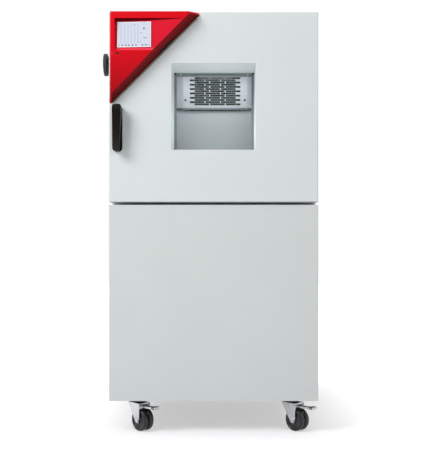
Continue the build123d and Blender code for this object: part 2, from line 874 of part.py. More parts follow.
def castor_fork(braked):
    """Pressed fork with its axle bolt, drawn with the wheel towards +X."""
    crown = block((-26, 44), both(fork_half), (crown_low, crown_high))
    crown = chamfer(crown.edges().filter_by(Axis.Z), 6)
    fork = crown - rod((0, 0, crown_low), (0, 0, crown_high), 6.5)
    leg = [(-20, crown_high - 1), (44, crown_high - 1), (trail + 11.6, wheel_radius + 3),
           (trail + 6, wheel_radius - 10), (trail - 6, wheel_radius - 10),
           (trail - 11, wheel_radius - 5)]
    for side in (-1, 1):
        inner = side * (fork_half - leg_thickness)
        y = sorted((side * fork_half, inner))
        fork += prism("Y", leg, *y)
        fork += rod((trail, inner, wheel_radius), (trail, side * 29, wheel_radius), 8)
        if braked:
            fork += rod((pedal_x, inner, pedal_z), (pedal_x, inner - side * 8, pedal_z), 2.5)
    return fork + rod((trail, -fork_half, wheel_radius), (trail, fork_half, wheel_radius), 5)


def castor_wheel():
    """Twin wheel with a groove between its two treads."""
    outline = Polyline((5.4, -wheel_half), (wheel_radius, -wheel_half), (wheel_radius, -3),
                       (wheel_radius - 8, -3), (wheel_radius - 8, 3), (wheel_radius, 3),
                       (wheel_radius, wheel_half), (5.4, wheel_half), close=True)
    return Pos(trail, 0, wheel_radius) * revolve(make_face(outline), Axis.Y)


def brake_pedal():
    """Foot lever that presses on the wheel."""
    x, z = pedal_x, pedal_z
    outline = [(x, z + 3), (x, z - 3), (x + 26, z - 5), (x + 74, z - 3), (x + 80, z),
               (x + 79, z + 5), (x + 62, z + 3), (x + 24, z + 1)]
    tube_half = fork_half - leg_thickness - 0.4
    pedal = prism("Y", outline, -12, 12)
    pedal += rod((x, -tube_half, z), (x, tube_half, z), 5.4)
    return pedal - rod((x, -tube_half - 1, z), (x, tube_half + 1, z), 2.8)


def save(name, shape):
    """Write one piece to its own file."""
    export_step(shape, f"parts/{name}.step")


def main():
    os.makedirs("parts", exist_ok=True)
    pieces = [base_frame, base_front_panel, base_rear_panel, upper_casing, upper_rear_panel,
              cabinet_foam, chamber_liner, mouth_frame, fan_cover, lower_wall_panel,
              evaporator_coil, heater_coil, fan_motor, temperature_probe, shelf_rails,
              wire_shelf, port_tube, port_plug, striker_plate, hinge_brackets, hinge_pins,
              door_outer_shell, door_foam, door_inner_shell, door_gasket, window_panes,
              window_seal, controller_housing, indicator_lens, controller_gasket,
              display_panel, controller_board, handle_base, handle_lever, latch_bolt,
              compressor, condenser_coil, fan_shroud, receiver_and_drier,
              refrigerant_pipes, electrical_box, power_inlet, drain_pipe, switch_plate,
              switch_knob, castor_plates]
    for piece in pieces:
        save(piece.__name__, piece())
    save("base_side_panel_left", side_panel(-1))
    save("base_side_panel_right", side_panel(1))
    save("circulation_fan", axial_fan((0, 171, fan_height), hub=14, tip=64, chord=24,
                                      blades=6, shaft_end=326, pitch=35))
    cx, cz = condenser_centre
    save("condenser_fan", axial_fan((cx, 322, cz), hub=26, tip=126, chord=46,
                                    blades=5, shaft_end=362, pitch=25))
    for name, place, braked in castor_places():
        save(f"castor_fork_{name}", place * castor_fork(braked))
        save(f"castor_wheel_{name}", place * castor_wheel())
        if braked:
            save(f"brake_pedal_{name}", place * brake_pedal())


main()
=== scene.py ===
import json
import math
import bmesh
import bpy
from mathutils import Matrix, Vector


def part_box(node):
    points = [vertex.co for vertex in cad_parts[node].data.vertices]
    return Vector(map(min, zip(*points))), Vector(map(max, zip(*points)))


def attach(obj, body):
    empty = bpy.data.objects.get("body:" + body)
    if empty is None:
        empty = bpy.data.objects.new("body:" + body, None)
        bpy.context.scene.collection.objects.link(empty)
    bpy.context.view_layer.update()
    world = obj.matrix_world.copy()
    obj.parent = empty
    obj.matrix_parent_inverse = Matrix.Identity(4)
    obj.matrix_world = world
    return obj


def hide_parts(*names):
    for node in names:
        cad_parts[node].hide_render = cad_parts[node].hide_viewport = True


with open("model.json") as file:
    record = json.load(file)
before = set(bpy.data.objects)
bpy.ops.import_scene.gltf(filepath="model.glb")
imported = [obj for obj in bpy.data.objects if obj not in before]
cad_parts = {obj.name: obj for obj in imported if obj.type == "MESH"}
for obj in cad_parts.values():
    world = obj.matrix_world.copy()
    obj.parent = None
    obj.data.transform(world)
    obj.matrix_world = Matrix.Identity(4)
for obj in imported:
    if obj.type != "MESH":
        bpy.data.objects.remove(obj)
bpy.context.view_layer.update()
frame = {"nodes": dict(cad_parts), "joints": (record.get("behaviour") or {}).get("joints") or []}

bl_info = {
    "name": "Environmental Test Chamber",
    "version": (1, 0, 0),
    "blender": (4, 5, 0),
    "location": "3D View > Sidebar > Chamber",
    "description": "Finishes and small pieces of an environmental test chamber",
    "category": "Object",
}

MM = 0.001
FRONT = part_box("base_front_panel")[0].y
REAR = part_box("base_rear_panel")[1].y
# The screen's pocket deepens by this much over this width.
POCKET_DEPTH = 16 * MM
POCKET_WIDTH = 240 * MM
# The controller's crease, and the direction that its slanted band faces.
CREASE = 1346 * MM
BAND_NORMAL = (0.593, -0.543, -0.593)
BAND_INNER, BAND_OUTER = -1559 * MM, -1526 * MM
POCKET_LEFT, POCKET_TOP = -345 * MM, 1457 * MM
# The slots of the fan cover: three to a row, in rows that are shifted in turn.
SLOT_LENGTH, SLOT_HIGH = 60 * MM, 5 * MM
SLOT_PITCH, ROW_PITCH = 65.3 * MM, 9.13 * MM
SLOT_SHIFT = 10 * MM
FIRST_ROW, SLOT_ROWS = 1256 * MM, 13
CASTORS = ("front_left", "front_right", "rear_left", "rear_right")


def linear(code):
    """An sRGB hex colour as linear red, green, blue and alpha."""
    values = [int(code[i:i + 2], 16) / 255 for i in (1, 3, 5)]
    return [v / 12.92 if v <= 0.04045 else ((v + 0.055) / 1.055) ** 2.4 for v in values] + [1.0]


def colour_property(name, description, code):
    """A colour that a user can change."""
    return bpy.props.FloatVectorProperty(name=name, description=description, subtype="COLOR",
                                         size=4, min=0, max=1, default=linear(code))


def length_property(name, description, millimetres):
    """A length that a user can change."""
    return bpy.props.FloatProperty(name=name, description=description, subtype="DISTANCE",
                                   unit="LENGTH", min=0, default=millimetres * MM)


class ChamberColours(bpy.types.PropertyGroup):
    """Colours of the visible finishes"""
    door_coat: colour_property("Door coat", "Powder coat of the door", "#DBE2E2")
    base_coat: colour_property("Base coat", "Powder coat of the base", "#D2D8D7")
    housing_red: colour_property("Housing", "Moulded controller housing", "#D8101E")
    # Painted shade: the housing's lower facet, darker toward its tip.
    housing_low_shade: colour_property("Housing, low", "Lower edge of the housing", "#A30F19")
    # Painted highlight: the pocket round the screen is painted paler.
    housing_pocket_highlight: colour_property("Housing, pocket", "Face round the screen", "#DA1D33")
    # Painted highlight: the pocket's lowest 8 mm, which face up into the light.
    housing_sill_highlight: colour_property("Housing, pocket edge", "Lower edge of the pocket", "#EE4258")
    # Painted shade: the slanted band's tone and the darker tone of its outer edge.
    housing_band_shade: colour_property("Housing band", "Slanted band of the housing", "#8E0A14")
    band_edge_shade: colour_property("Band edge", "Outer edge of the slanted band", "#340003")
    handle_black: colour_property("Handle", "Moulded handle", "#141210")
    steel: colour_property("Stainless", "Stainless sheet of the chamber", "#C9CDD3")
    tyre_black: colour_property("Tyre", "Castor tyres", "#161617")
    screen_field: colour_property("Screen", "Lit field of the screen", "#C9D0DE")


class ChamberSizes(bpy.types.PropertyGroup):
    """Sizes of the small pieces"""
    sheet_edge: length_property("Sheet edge", "Rounding of folded sheet edges", 1.6)
    moulded_edge: length_property("Moulded edge", "Rounding of moulded edges", 1.2)
    screw_radius: length_property("Screw head", "Radius of the panel screws", 4.5)
    grain_length: length_property("Brush grain", "Length of the brushed grain", 60)


def colours():
    """The colours as set in the sidebar."""
    return bpy.context.scene.chamber_colours


def sizes():
    """The sizes as set in the sidebar."""
    return bpy.context.scene.chamber_sizes


# Materials

def node(tree, kind, sockets=None, **settings):
    """Adds a node with its settings, values and links."""
    made = tree.nodes.new(kind)
    for name, value in settings.items():
        setattr(made, name, value)
    for name, value in (sockets or {}).items():
        if isinstance(value, bpy.types.NodeSocket):
            tree.links.new(value, made.inputs[name])
        else:
            made.inputs[name].default_value = value
    return made


def surface(name, colour, roughness, metallic=0.0, ior=1.5):
    """A material with its shader, as (material, node tree, shader)."""
    material = bpy.data.materials.get(name)
    if material:
        return material, None, None
    material = bpy.data.materials.new(name)
    material.use_nodes = True
    tree = material.node_tree
    shader = tree.nodes["Principled BSDF"]
    shader.inputs["Base Color"].default_value = colour
    shader.inputs["Roughness"].default_value = roughness
    shader.inputs["Metallic"].default_value = metallic
    shader.inputs["IOR"].default_value = ior
    material.diffuse_color = colour
    return material, tree, shader


def grain(tree, size, detail=3.0, stretch=(1, 1, 1)):
    """Noise with features of a real size in metres, stretched along an axis."""
    place = node(tree, "ShaderNodeTexCoord")
    mapping = node(tree, "ShaderNodeMapping", {"Vector": place.outputs["Object"],
                                               "Scale": stretch})
    noise = node(tree, "ShaderNodeTexNoise", {"Vector": mapping.outputs["Vector"],
                                              "Scale": 1 / size, "Detail": detail})
    return noise.outputs["Fac"]


def vary_roughness(tree, shader, pattern, low, high):
    """Roughness that follows a pattern."""
    ranged = node(tree, "ShaderNodeMapRange", {"Value": pattern, "From Min": 0.3,
                                               "From Max": 0.7, "To Min": low, "To Max": high})
    tree.links.new(ranged.outputs["Result"], shader.inputs["Roughness"])


def vary_colour(tree, shader, pattern, dark, light):
    """Colour that follows a pattern between two tones."""
    ramp = node(tree, "ShaderNodeValToRGB", {"Fac": pattern})
    ramp.color_ramp.elements[0].position = 0.3
    ramp.color_ramp.elements[0].color = dark
    ramp.color_ramp.elements[1].position = 0.7
    ramp.color_ramp.elements[1].color = light
    tree.links.new(ramp.outputs["Color"], shader.inputs["Base Color"])


def emboss(tree, shader, pattern, height):
    """Fine relief of a height in metres."""
    bump = node(tree, "ShaderNodeBump", {"Height": pattern, "Distance": height,
                                         "Strength": 1.0})
    tree.links.new(bump.outputs["Normal"], shader.inputs["Normal"])


def toned(colour, factor):
    """A colour made darker or lighter."""
    return [min(1.0, c * factor) for c in colour[:3]] + [1.0]


def powder_coat(name, colour):
    """Powder-coated sheet steel: an even, matt coat with a faint orange peel."""
    material, tree, shader = surface(name, colour, 0.42)
    if tree:
        cloud = grain(tree, 180 * MM, 2)
        vary_colour(tree, shader, cloud, toned(colour, 0.985), toned(colour, 1.01))
        # The peel of a baked coat is about 1.5 mm across.
        peel = grain(tree, 1.5 * MM, 2)
        vary_roughness(tree, shader, peel, 0.38, 0.48)
        emboss(tree, shader, peel, 0.03 * MM)
    return material


def brushed_stainless(name, colour, along=(1, 0, 0)):
    """Brushed stainless sheet: grain along one axis blurs what it reflects."""
    material, tree, shader = surface(name, colour, 0.4, metallic=1.0)
    if tree:
        # Brush lines are about 0.3 mm apart, drawn at 1.2 mm so that they show.
        across = sizes().grain_length / (1.2 * MM)
        stretch = tuple(1.0 if a else across for a in along)
        lines = grain(tree, sizes().grain_length, 4, stretch)
        vary_roughness(tree, shader, lines, 0.32, 0.5)
        vary_colour(tree, shader, lines, toned(colour, 0.94), toned(colour, 1.03))
        emboss(tree, shader, lines, 0.01 * MM)
    return material


def cut_stainless(colour):
    """Brushed stainless sheet with the dark line that a laser leaves round each slot."""
    material, tree, shader = surface("laser_cut_stainless", colour, 0.42, metallic=1.0)
    if tree:
        # The line is about 0.5 mm wide, drawn at 1.5 mm so that it shows.
        burn = 1.5 * MM
        place = node(tree, "ShaderNodeTexCoord")
        split = node(tree, "ShaderNodeSeparateXYZ", {0: place.outputs["Object"]})

        found = {"x": split.outputs["X"], "z": split.outputs["Z"]}
        # Even rows are shifted right and odd rows left. Each step reads earlier ones.
        for name, operation, *inputs in (
                ("height", "SUBTRACT", "z", FIRST_ROW + SLOT_HIGH / 2),
                ("rows", "DIVIDE", "height", ROW_PITCH),
                ("row", "ROUND", "rows"),
                ("odd", "FLOORED_MODULO", "row", 2.0),
                ("shift", "MULTIPLY_ADD", "odd", 2 * SLOT_SHIFT, -SLOT_SHIFT),
                ("along", "ADD", "x", "shift"),
                ("columns", "DIVIDE", "along", SLOT_PITCH),
                ("column", "ROUND", "columns"),
                ("to_column", "SUBTRACT", "columns", "column"),
                ("beside", "ABSOLUTE", "to_column"),
                ("to_row", "SUBTRACT", "rows", "row"),
                ("above", "ABSOLUTE", "to_row"),
                ("outward", "ABSOLUTE", "column"),
                ("near", "LESS_THAN", "beside", (SLOT_LENGTH / 2 + 0.3 * burn) / SLOT_PITCH),
                ("level", "LESS_THAN", "above", (SLOT_HIGH / 2 + burn) / ROW_PITCH),
                ("within", "LESS_THAN", "outward", 1.5),
                ("under_top", "LESS_THAN", "row", SLOT_ROWS - 0.5),
                ("over_foot", "GREATER_THAN", "row", -0.5),
                ("burnt", "MULTIPLY", "near", "level"),
                ("burnt", "MULTIPLY", "burnt", "within"),
                ("burnt", "MULTIPLY", "burnt", "under_top"),
                ("burnt", "MULTIPLY", "burnt", "over_foot")):
            sockets = {i: found[value] if isinstance(value, str) else value
                       for i, value in enumerate(inputs)}
            found[name] = node(tree, "ShaderNodeMath", sockets, operation=operation).outputs[0]
        lines = grain(tree, sizes().grain_length, 4, (1, 50, 50))
        steel = node(tree, "ShaderNodeMix", {"Factor": lines, "A": toned(colour, 0.96),
                                             "B": toned(colour, 1.03)}, data_type="RGBA")
        mixed = node(tree, "ShaderNodeMix", {"Factor": found["burnt"],
                                             "A": steel.outputs["Result"],
                                             "B": linear("#17181A")}, data_type="RGBA")
        tree.links.new(mixed.outputs["Result"], shader.inputs["Base Color"])
        vary_roughness(tree, shader, lines, 0.36, 0.5)
    return material


def moulded_plastic(name, colour, roughness, gloss=0.5):
    """Injection-moulded plastic: a fine spark-eroded grain under a soft gloss."""
    material, tree, shader = surface(name, colour, roughness, ior=1.46)
    if tree:
        shader.inputs["Specular IOR Level"].default_value = gloss
        # Spark-eroded tool texture, grains of about 0.8 mm.
        texture = grain(tree, 0.8 * MM)
        vary_roughness(tree, shader, texture, roughness - 0.04, roughness + 0.06)
        vary_colour(tree, shader, grain(tree, 60 * MM, 2), toned(colour, 0.96),
                    toned(colour, 1.03))
        emboss(tree, shader, texture, 0.02 * MM)
    return material


def rubber(name, colour):
    """Vulcanised rubber: matt, with a dusty bloom."""
    material, tree, shader = surface(name, colour, 0.6, ior=1.52)
    if tree:
        bloom = grain(tree, 9 * MM, 5)
        vary_roughness(tree, shader, bloom, 0.5, 0.72)
        vary_colour(tree, shader, bloom, toned(colour, 0.85), toned(colour, 1.2))
        emboss(tree, shader, grain(tree, 1.1 * MM, 2), 0.03 * MM)
    return material


def edge_rubber():
    """Black moulded rubber of the small edge pieces."""
    return rubber("black_edge_rubber", linear("#0B0B0C"))


def red_abs_painted_light():
    """Moulded red ABS, nearly matt, with painted shade on its slanted band and a painted
    highlight on the pocket round the screen.
    """
    tones = colours()
    colour = tones.housing_red
    material, tree, shader = surface("moulded_red_abs", colour, 0.35, ior=1.46)
    if tree:
        place = node(tree, "ShaderNodeTexCoord")
        split = node(tree, "ShaderNodeSeparateXYZ", {0: place.outputs["Object"]})
        x, z = split.outputs["X"], split.outputs["Z"]
        turned_to = [node(tree, "ShaderNodeVectorMath", {0: place.outputs["Normal"], 1: way},
                          operation="DOT_PRODUCT").outputs["Value"]
                     for way in (BAND_NORMAL, (0, 0, -1))]
        diagonal = node(tree, "ShaderNodeMath", {0: x, 1: z}, operation="SUBTRACT").outputs[0]
        # The rim shades a wedge of the pocket above the screen, which leans by this slope.
        slope = 0.04
        leaning = node(tree, "ShaderNodeMath", {0: x, 1: -slope, 2: z},
                       operation="MULTIPLY_ADD").outputs[0]
        wedge_edge = POCKET_TOP - 11 * MM - slope * POCKET_LEFT
        masks = {name: node(tree, "ShaderNodeMapRange",
                            {"Value": value, "From Min": start, "From Max": stop})
                 .outputs["Result"]
                 for name, value, start, stop in (
                     # Painted shade on the band, chosen by the way it faces, darker toward its
                     # outer edge.
                     ("band", turned_to[0], 0.8, 0.97),
                     ("outer", diagonal, BAND_INNER, BAND_OUTER),
                     # Painted shade: the lower facet darkens toward its tip.
                     ("low", z, CREASE + 10 * MM, CREASE - 150 * MM),
                     # Painted highlight: the pocket round the screen is painted paler.
                     ("pocket", x, POCKET_LEFT - 1 * MM, POCKET_LEFT + 1 * MM),
                     ("over_crease", z, CREASE - 1 * MM, CREASE + 1 * MM),
                     ("under_top", z, POCKET_TOP + 0.5 * MM, POCKET_TOP - 0.1 * MM),
                     ("wedge", leaning, wedge_edge - 1 * MM, wedge_edge + 1 * MM),
                     # Painted highlight on the pocket's lowest 8 mm.
                     ("sill", z, CREASE + 9 * MM, CREASE + 7 * MM),
                     # Painted shade: faces turned downward in the pocket are painted dark.
                     ("underside", turned_to[1], 0.9, 0.98))}
        for first, second in (("pocket", "over_crease"), ("pocket", "under_top"),
                              ("wedge", "pocket"), ("sill", "pocket"),
                              ("underside", "pocket")):
            masks[first] = node(tree, "ShaderNodeMath", {0: masks[first], 1: masks[second]},
                                operation="MULTIPLY").outputs[0]
        # The band is painted darker as shade, and darker still toward its outer edge; the
        # pocket's lowest 8 mm are painted paler as a highlight, and the rim's underside is
        # painted dark as shade.
        band_shade_tone = node(tree, "ShaderNodeMix",
                         {"Factor": masks["outer"], "A": tones.housing_band_shade,
                          "B": tones.band_edge_shade}, data_type="RGBA").outputs["Result"]
        tone = colour
        for name, other in (("low", tones.housing_low_shade), ("pocket", tones.housing_pocket_highlight),
                            ("wedge", tones.housing_band_shade), ("sill", tones.housing_sill_highlight),
                            ("underside", tones.band_edge_shade), ("band", band_shade_tone)):
            tone = node(tree, "ShaderNodeMix", {"Factor": masks[name], "A": tone, "B": other},
                        data_type="RGBA").outputs["Result"]
        tree.links.new(tone, shader.inputs["Base Color"])
        # A fine spark-eroded grain, 0.8 mm across, hides most of the gloss.
        shader.inputs["Specular IOR Level"].default_value = 0.1
        texture = grain(tree, 0.8 * MM)
        vary_roughness(tree, shader, texture, 0.3, 0.4)
        emboss(tree, shader, texture, 0.01 * MM)
    return material


def zinc_plate():
    """Zinc-plated pressed steel: bright, with soft drifts from the bath."""
    colour = linear("#C0C3C6")
    material, tree, shader = surface("zinc_plated_steel", colour, 0.3, metallic=1.0)
    if tree:
        drift = grain(tree, 14 * MM, 4)
        vary_roughness(tree, shader, drift, 0.22, 0.4)
        vary_colour(tree, shader, drift, toned(colour, 0.85), toned(colour, 1.05))
    return material


def cast_aluminium():
    """Cast aluminium: pale and grainy."""
    material, tree, shader = surface("cast_aluminium", linear("#B9BCC0"), 0.45, metallic=1.0)
    if tree:
        vary_roughness(tree, shader, grain(tree, 3 * MM, 3), 0.38, 0.55)
        emboss(tree, shader, grain(tree, 1.4 * MM, 3), 0.05 * MM)
    return material


def galvanised_sheet():
    """Hot-dip galvanised sheet: spangles about 12 mm across catch the light unevenly."""
    material, tree, shader = surface("galvanised_sheet", linear("#A9AFB3"), 0.45, metallic=1.0)
    if tree:
        place = node(tree, "ShaderNodeTexCoord")
        cells = node(tree, "ShaderNodeTexVoronoi", {"Vector": place.outputs["Object"],
                                                    "Scale": 1 / (12 * MM)})
        vary_roughness(tree, shader, cells.outputs["Distance"], 0.35, 0.55)
    return material


def drawn_copper():
    """Drawn copper tube: warm and bright, with brown clouds of tarnish."""
    colour = linear("#C27A52")
    material, tree, shader = surface("drawn_copper", colour, 0.3, metallic=1.0)
    if tree:
        tarnish = grain(tree, 25 * MM, 4)
        vary_colour(tree, shader, tarnish, toned(colour, 0.7), toned(colour, 1.05))
        vary_roughness(tree, shader, tarnish, 0.25, 0.45)
    return material


def foam_core():
    """Rigid foam: cream cells about 1 mm across."""
    colour = linear("#E3D5A8")
    material, tree, shader = surface("rigid_foam", colour, 0.85)
    if tree:
        cells = grain(tree, 1.2 * MM)
        vary_colour(tree, shader, cells, toned(colour, 0.85), colour)
        emboss(tree, shader, cells, 0.2 * MM)
    return material


def clear_glass():
    """Clear float glass: it hardly shows, apart from a faint green veil."""
    material, tree, shader = surface("clear_float_glass", linear("#5E7A70"), 0.02, ior=1.52)
    if tree:
        shader.inputs["Alpha"].default_value = 0.06
        material.surface_render_method = "BLENDED"
        # Faint smears of wiping, about 40 mm across.
        vary_roughness(tree, shader, grain(tree, 40 * MM, 3), 0.01, 0.06)
    return material


def glazing_rubber():
    """Seal and spacer of the panes: dull grey at the sides, with painted shade in green-grey
    along the top.
    """
    side, top = linear("#8A9296"), linear("#84948F")
    material, tree, shader = surface("glazing_rubber", side, 0.55, ior=1.52)
    if tree:
        place = node(tree, "ShaderNodeTexCoord")
        split = node(tree, "ShaderNodeSeparateXYZ", {0: place.outputs["Object"]})
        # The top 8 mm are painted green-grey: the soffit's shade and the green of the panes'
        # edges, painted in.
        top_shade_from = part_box("window_seal")[1].z - 8 * MM
        top_shade_mask = node(tree, "ShaderNodeMath", {0: split.outputs["Z"], 1: top_shade_from},
                    operation="GREATER_THAN")
        mixed = node(tree, "ShaderNodeMix", {"Factor": top_shade_mask.outputs[0], "A": side, "B": top},
                     data_type="RGBA")
        tree.links.new(mixed.outputs["Result"], shader.inputs["Base Color"])
        emboss(tree, shader, grain(tree, 1.1 * MM, 2), 0.03 * MM)
    return material


def lit_screen(name, colour, strength):
    """Back-lit liquid crystal under a matt cover: flat and faintly bright."""
    material, tree, shader = surface(name, colour, 0.35)
    if tree:
        shader.inputs["Emission Color"].default_value = colour
        shader.inputs["Emission Strength"].default_value = strength
    return material


# Making pieces

def dress(material, *names):
    """Gives CAD nodes a material."""
    for name in names:
        mesh = frame["nodes"][name].data
        mesh.materials.clear()
        mesh.materials.append(material)


def edge_shading():
    """Geometry nodes that join a solid's faces and shade its curves smoothly."""
    group = bpy.data.node_groups.get("edge_shading")
    if group:
        return group
    group = bpy.data.node_groups.new("edge_shading", "GeometryNodeTree")
    group.interface.new_socket("Geometry", in_out="INPUT", socket_type="NodeSocketGeometry")
    group.interface.new_socket("Geometry", in_out="OUTPUT", socket_type="NodeSocketGeometry")
    start = node(group, "NodeGroupInput")
    merged = node(group, "GeometryNodeMergeByDistance",
                  {"Geometry": start.outputs[0], "Distance": 0.005 * MM})
    smooth = node(group, "GeometryNodeSetShadeSmooth",
                  {"Geometry": merged.outputs[0], "Shade Smooth": True}, domain="FACE")
    angle = node(group, "GeometryNodeInputMeshEdgeAngle")
    sharp = node(group, "FunctionNodeCompare",
                 {0: angle.outputs["Unsigned Angle"], 1: math.radians(32)},
                 data_type="FLOAT", operation="GREATER_THAN")
    edges = node(group, "GeometryNodeSetShadeSmooth",
                 {"Geometry": smooth.outputs[0], "Selection": sharp.outputs[0],
                  "Shade Smooth": False}, domain="EDGE")
    node(group, "NodeGroupOutput", {0: edges.outputs[0]})
    return group


def soften(width, *names):
    """Smooth shading for CAD nodes, with a small rounding on their edges if asked."""
    for name in names:
        solid = frame["nodes"][name]
        shading = solid.modifiers.new("edge shading", "NODES")
        shading.node_group = edge_shading()
        if width:
            bevel = solid.modifiers.new("edge rounding", "BEVEL")
            bevel.width = width
            bevel.segments = 2
            bevel.limit_method = "ANGLE"
            bevel.angle_limit = math.radians(40)
            bevel.harden_normals = True


def piece(name, mesh_builder, material, body):
    """A mesh piece that rides on a body."""
    mesh = bpy.data.meshes.new(name)
    bm = bmesh.new()
    mesh_builder(bm)
    bmesh.ops.recalc_face_normals(bm, faces=bm.faces)
    bm.to_mesh(mesh)
    bm.free()
    made = bpy.data.objects.new(name, mesh)
    bpy.context.scene.collection.objects.link(made)
    mesh.materials.append(material)
    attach(made, body)
    return made


def smooth(made):
    """Shades a piece smoothly."""
    for face in made.data.polygons:
        face.use_smooth = True
    return made


def rounded_by(made, width):
    """Rounds a piece's edges and shades it smoothly."""
    bevel = made.modifiers.new("edge rounding", "BEVEL")
    bevel.width = width
    bevel.segments = 2
    bevel.limit_method = "ANGLE"
    bevel.harden_normals = True
    return smooth(made)


def turned(bm, profile, matrix, steps=64):
    """A closed ring of (radius, height) points turned about the matrix's Z axis."""
    rings = []
    for step in range(steps):
        turn = Matrix.Rotation(2 * math.pi * step / steps, 4, "Z")
        rings.append([bm.verts.new(matrix @ turn @ Vector((r, 0, z))) for r, z in profile])
    for a, b in zip(rings, rings[1:] + rings[:1]):
        for i in range(len(profile)):
            j = (i + 1) % len(profile)
            bm.faces.new((a[i], b[i], b[j], a[j]))


def dome(bm, radius, height, matrix, steps=20, rows=4):
    """A domed screw head standing on the matrix's XY plane."""
    tip = bm.verts.new(matrix @ Vector((0, 0, height)))
    rings = []
    for row in range(rows):
        angle = math.pi / 2 * row / rows
        r, z = radius * math.cos(angle), height * math.sin(angle)
        rings.append([bm.verts.new(matrix @ Vector((r * math.cos(t), r * math.sin(t), z)))
                      for t in (2 * math.pi * i / steps for i in range(steps))])
    for a, b in zip(rings, rings[1:]):
        for i in range(steps):
            bm.faces.new((a[i], a[i - 1], b[i - 1], b[i]))
    for i in range(steps):
        bm.faces.new((rings[-1][i], rings[-1][i - 1], tip))
    bm.faces.new(rings[0])


def facing(place, direction):
    """A matrix at a place with its Z axis along a direction."""
    turn = Vector(direction).to_track_quat("Z", "Y").to_matrix().to_4x4()
    return Matrix.Translation(place) @ turn


def slab(bm, low, high, matrix=Matrix.Identity(4)):
    """A box between two corners."""
    size = Vector(high) - Vector(low)
    centre = (Vector(high) + Vector(low)) / 2
    scaled = Matrix.Translation(centre) @ Matrix.Diagonal((*size, 1))
    bmesh.ops.create_cube(bm, size=1, matrix=matrix @ scaled)


def joint(name):
    """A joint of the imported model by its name."""
    return next(j for j in frame["joints"] if j["name"] == name)


class ChamberOperator(bpy.types.Operator):
    """Base of the operators that finish the chamber"""
    bl_options = {"REGISTER", "UNDO"}


class CHAMBER_OT_cabinet(ChamberOperator):
    """Coat the base and the insulated box and set their screws"""
    bl_idname = "chamber.cabinet"
    bl_label = "Cabinet"

    def execute(self, context):
        panels = ("base_front_panel", "base_side_panel_left", "base_side_panel_right",
                  "base_rear_panel")
        dress(powder_coat("powder_coated_base", colours().base_coat), *panels)
        dress(powder_coat("powder_coated_box", colours().door_coat), "upper_casing",
              "upper_rear_panel")
        dress(powder_coat("painted_frame", linear("#8E9496")), "base_frame")
        dress(foam_core(), "cabinet_foam", "door_foam")
        soften(sizes().sheet_edge, "base_front_panel")
        soften(0, "upper_casing")
        self.screws()
        return {"FINISHED"}

    def screws(self):
        """Domed screws round the rear panels."""
        low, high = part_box("base_rear_panel")
        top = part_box("upper_rear_panel")[1].z
        inset, head = 12 * MM, 2.2 * MM
        heights = [low.z + inset, (low.z + high.z) / 2, high.z - inset, high.z + inset,
                   (high.z + top) / 2, top - inset]
        places = [Vector((side * (high.x - inset), REAR, z)) for z in heights
                  for side in (-1, 1)]

        def build(bm):
            for place in places:
                dome(bm, sizes().screw_radius, head, facing(place, (0, 1, 0)))
        smooth(piece("rear_panel_screws", build, zinc_plate(), "cabinet"))


class CHAMBER_OT_door(ChamberOperator):
    """Coat the door and finish its inner shell, seal and hinges"""
    bl_idname = "chamber.door"
    bl_label = "Door"

    def execute(self, context):
        dress(powder_coat("powder_coated_door", colours().door_coat), "door_outer_shell")
        dress(brushed_stainless("brushed_stainless", colours().steel), "door_inner_shell")
        dress(rubber("silicone_seal", linear("#3A3D3E")), "door_gasket", "mouth_frame")
        dress(zinc_plate(), "hinge_brackets", "hinge_pins", "striker_plate", "latch_bolt")
        soften(sizes().moulded_edge, "door_outer_shell")
        soften(0, "hinge_brackets", "hinge_pins", "door_gasket")
        return {"FINISHED"}


class CHAMBER_OT_window(ChamberOperator):
    """Finish the panes and their seals"""
    bl_idname = "chamber.window"
    bl_label = "Window"

    def execute(self, context):
        dress(clear_glass(), "window_panes")
        dress(glazing_rubber(), "window_seal")
        self.corner_keys()
        return {"FINISHED"}

    def corner_keys(self):
        """Black corner keys and pale clips that hold the glazing's top."""
        low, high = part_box("window_seal")
        front, back = low.y - 0.6 * MM, low.y + 0.5 * MM

        def blocks(half_width, half_height, from_middle, z):
            def build(bm):
                for x in (-from_middle, from_middle):
                    slab(bm, (x - half_width, front, z - half_height),
                         (x + half_width, back, z + half_height))
            return build
        keys = piece("glazing_keys", blocks(3.5 * MM, 3.5 * MM, high.x - 4 * MM,
                                            high.z - 4 * MM),
                     edge_rubber(), "door")
        clips = piece("glazing_clips", blocks(3 * MM, 2 * MM, 124.6 * MM, high.z - 8 * MM),
                      moulded_plastic("pale_moulded_clip", linear("#DDE2E0"), 0.4),
                      "door")
        for made in (keys, clips):
            rounded_by(made, 0.4 * MM)


